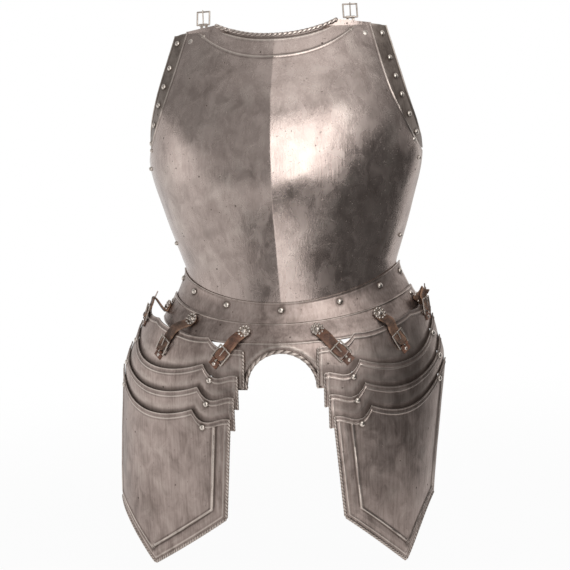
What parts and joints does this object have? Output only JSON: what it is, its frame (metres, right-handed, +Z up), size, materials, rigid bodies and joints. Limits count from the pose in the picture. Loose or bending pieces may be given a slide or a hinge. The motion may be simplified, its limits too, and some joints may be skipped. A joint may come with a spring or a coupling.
{
  "type": "cuirass with tassets",
  "caption": "Steel cuirass front with sliding arm gussets, waist and skirt lames, crotch arch and two tassets of sliding lames hung on buckled leather straps",
  "frame": {"origin": "middle of the waist, between the wearer's sides at the height of the waistline's side ends; the open back faces +Y", "axes": "+Z up, -Y front, +X the wearer's left"},
  "size_m": [0.4482, 0.1467, 0.7194],
  "materials": {
    "steel": "worn brown-grey steel with fine scratches and dark specks",
    "dark_steel": "darker worn steel of rivets, gussets and buckle wire",
    "leather": "old reddish brown strap leather"
  },
  "bodies": {
    "breast": {"breastplate": "steel", "waist_lame": "steel", "waist_rivets": "dark_steel", "gusset_pivot_rivets": "dark_steel", "gusset_slide_rivets": "dark_steel", "skirt_pivot_rivets": "dark_steel", "flank_studs": "dark_steel", "shoulder_chapes": "dark_steel", "shoulder_chape_rivets": "dark_steel"},
    "skirt": {"skirt_lame": "steel", "rosettes": "steel", "left_front_strap": "leather", "left_middle_strap": "leather", "left_outer_strap": "leather", "right_front_strap": "leather", "right_middle_strap": "leather", "right_outer_strap": "leather"},
    "gusset_left_body": {"gusset_left": "dark_steel", "gusset_rivets_left": "dark_steel"},
    "tasset_left_1": {"tasset_left_lame_1": "steel", "left_buckle_frames": "dark_steel", "left_buckle_tongues": "dark_steel", "left_buckle_chapes": "leather", "left_chape_rivets": "dark_steel"},
    "tasset_left_2": {"tasset_left_lame_2": "steel", "left_lame_2_rivets": "dark_steel"},
    "tasset_left_3": {"tasset_left_lame_3": "steel", "left_lame_3_rivets": "dark_steel"},
    "tasset_left_4": {"tasset_left_plate": "steel", "left_plate_rivets": "dark_steel"},
    "shoulder_frame_left_body": {"shoulder_frame_left": "dark_steel"},
    "shoulder_tongue_left_body": {"shoulder_tongue_left": "dark_steel"},
    "gusset_right_body": {"gusset_right": "dark_steel", "gusset_rivets_right": "dark_steel"},
    "tasset_right_1": {"tasset_right_lame_1": "steel", "right_buckle_frames": "dark_steel", "right_buckle_tongues": "dark_steel", "right_buckle_chapes": "leather", "right_chape_rivets": "dark_steel"},
    "tasset_right_2": {"tasset_right_lame_2": "steel", "right_lame_2_rivets": "dark_steel"},
    "tasset_right_3": {"tasset_right_lame_3": "steel", "right_lame_3_rivets": "dark_steel"},
    "tasset_right_4": {"tasset_right_plate": "steel", "right_plate_rivets": "dark_steel"},
    "shoulder_frame_right_body": {"shoulder_frame_right": "dark_steel"},
    "shoulder_tongue_right_body": {"shoulder_tongue_right": "dark_steel"}
  },
  "joints": [
    {"name": "gusset_left", "type": "hinge", "parent": "breast", "child": "gusset_left_body", "pos_m": [0.11508, -0.05013, 0.298], "axis": [-0.381, 0.7937, -0.4742], "range_deg": [0, 1.8]},
    {"name": "gusset_right", "type": "hinge", "parent": "breast", "child": "gusset_right_body", "pos_m": [-0.11508, -0.05013, 0.298], "axis": [-0.381, -0.7937, 0.4742], "range_deg": [0, 1.8]},
    {"name": "skirt_lift", "type": "hinge", "parent": "breast", "child": "skirt", "pos_m": [0, -0.03388, -0.04613], "axis": [-1, 0, 0], "range_deg": [0, 3]},
    {"name": "tasset_hang_left", "type": "hinge", "parent": "skirt", "child": "tasset_left_1", "pos_m": [0.10731, -0.08746, -0.06414], "axis": [-0.7434, -0.6513, -0.1518], "range_deg": [0, 30], "deforming": ["left_front_strap", "left_middle_strap", "left_outer_strap"]},
    {"name": "lame_2_slide_left", "type": "slide", "parent": "tasset_left_1", "child": "tasset_left_2", "axis": [-0.1105, 0, 0.9939], "range_m": [0, 0.004]},
    {"name": "lame_3_slide_left", "type": "slide", "parent": "tasset_left_2", "child": "tasset_left_3", "axis": [-0.0312, 0, 0.9995], "range_m": [0, 0.004]},
    {"name": "lame_4_slide_left", "type": "slide", "parent": "tasset_left_3", "child": "tasset_left_4", "axis": [0.0785, 0, 0.9969], "range_m": [0, 0.004]},
    {"name": "tasset_hang_right", "type": "hinge", "parent": "skirt", "child": "tasset_right_1", "pos_m": [-0.10731, -0.08746, -0.06414], "axis": [-0.7434, 0.6513, 0.1518], "range_deg": [0, 30], "deforming": ["right_front_strap", "right_middle_strap", "right_outer_strap"]},
    {"name": "lame_2_slide_right", "type": "slide", "parent": "tasset_right_1", "child": "tasset_right_2", "axis": [0.3131, 0, 0.9497], "range_m": [0, 0.004]},
    {"name": "lame_3_slide_right", "type": "slide", "parent": "tasset_right_2", "child": "tasset_right_3", "axis": [0.2601, 0, 0.9656], "range_m": [0, 0.004]},
    {"name": "lame_4_slide_right", "type": "slide", "parent": "tasset_right_3", "child": "tasset_right_4", "axis": [0.0785, 0, 0.9969], "range_m": [0, 0.004]},
    {"name": "shoulder_frame_left", "type": "hinge", "parent": "breast", "child": "shoulder_frame_left_body", "pos_m": [0.09725, -0.05112, 0.31953], "axis": [0.9482, 0.3178, 0], "range_deg": [-45, 45]},
    {"name": "shoulder_tongue_left", "type": "hinge", "parent": "shoulder_frame_left_body", "child": "shoulder_tongue_left_body", "pos_m": [0.09725, -0.05112, 0.31953], "axis": [0.9482, 0.3178, 0], "range_deg": [0, 30]},
    {"name": "shoulder_frame_right", "type": "hinge", "parent": "breast", "child": "shoulder_frame_right_body", "pos_m": [-0.09725, -0.05112, 0.31953], "axis": [0.9482, -0.3178, 0], "range_deg": [-45, 45]},
    {"name": "shoulder_tongue_right", "type": "hinge", "parent": "shoulder_frame_right_body", "child": "shoulder_tongue_right_body", "pos_m": [-0.09725, -0.05112, 0.31953], "axis": [0.9482, -0.3178, 0], "range_deg": [0, 30]}
  ]
}
